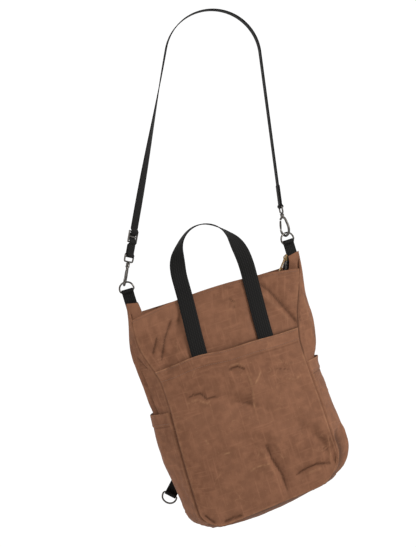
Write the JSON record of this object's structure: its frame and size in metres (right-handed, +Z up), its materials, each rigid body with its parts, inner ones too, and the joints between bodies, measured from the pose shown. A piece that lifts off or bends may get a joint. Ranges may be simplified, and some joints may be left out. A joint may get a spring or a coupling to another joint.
{
  "type": "convertible backpack",
  "caption": "Waxed canvas convertible backpack hanging tilted from its hooked shoulder strap, with slip pockets, a zip top and a webbing handle",
  "frame": {"origin": "under the crown of the shoulder strap, where the strap lies on the shoulder", "axes": "+Z up, the bag's front toward -Y, +X to the wearer's side of the higher top corner"},
  "size_m": [0.3697, 0.1356, 0.8274],
  "materials": {
    "canvas": "waxed brown canvas with paler creases",
    "webbing": "black woven webbing",
    "zip_tape": "black woven tape",
    "zip_chain": "dull gunmetal teeth",
    "gunmetal": "dark gunmetal plating, satin",
    "antique_brass": "dull antique brass"
  },
  "bodies": {
    "bag": {"front_panel": "canvas", "front_pocket": "canvas", "back_panel": "canvas", "side_panel_left": "canvas", "side_panel_right": "canvas", "side_pocket_left": "canvas", "side_pocket_right": "canvas", "base_panel": "canvas", "top_facing_front": "canvas", "top_facing_back": "canvas", "zip_tape_front": "zip_tape", "zip_tape_back": "zip_tape", "zip_chain": "zip_chain", "zip_slider": "antique_brass", "handle": "webbing", "shoulder_strap": "webbing", "strap_slide": "gunmetal", "tab_left": "webbing", "tab_right": "webbing", "d_ring_left": "gunmetal", "d_ring_right": "gunmetal", "hook_left": "gunmetal", "hook_right": "gunmetal", "hook_eye_left": "gunmetal", "hook_eye_right": "gunmetal", "lower_tab_left": "webbing", "lower_tab_right": "webbing"},
    "pull": {"zip_pull": "antique_brass"},
    "gate_left": {"hook_gate_left": "gunmetal"},
    "gate_right": {"hook_gate_right": "gunmetal"},
    "ring_left": {"lower_ring_left": "gunmetal"},
    "ring_right": {"lower_ring_right": "gunmetal"}
  },
  "joints": [
    {"name": "pull_hinge", "type": "hinge", "parent": "bag", "child": "pull", "pos_m": [0.11663, -0.00254, -0.39554], "axis": [-0.1326, 0.9892, 0.0629], "range_deg": [0, 90]},
    {"name": "gate_left_hinge", "type": "hinge", "parent": "bag", "child": "gate_left", "pos_m": [-0.13892, 0.00011, -0.41615], "axis": [0.9628, -0.2079, -0.1724], "range_deg": [0, 22], "stiffness_Nm_per_rad": 0.0005, "springref_deg": -20.05},
    {"name": "gate_right_hinge", "type": "hinge", "parent": "bag", "child": "gate_right", "pos_m": [0.11139, 0.00808, -0.33762], "axis": [-0.6042, -0.788, -0.1184], "range_deg": [0, 22], "stiffness_Nm_per_rad": 0.0005, "springref_deg": -20.05},
    {"name": "ring_left_hinge", "type": "hinge", "parent": "bag", "child": "ring_left", "pos_m": [-0.06141, 0.05501, -0.77987], "axis": [-0.8829, 0, 0.4695], "range_deg": [-50, 50]},
    {"name": "ring_right_hinge", "type": "hinge", "parent": "bag", "child": "ring_right", "pos_m": [0.19951, 0.05528, -0.68923], "axis": [-0.4695, 0, -0.8829], "range_deg": [-50, 50]}
  ]
}
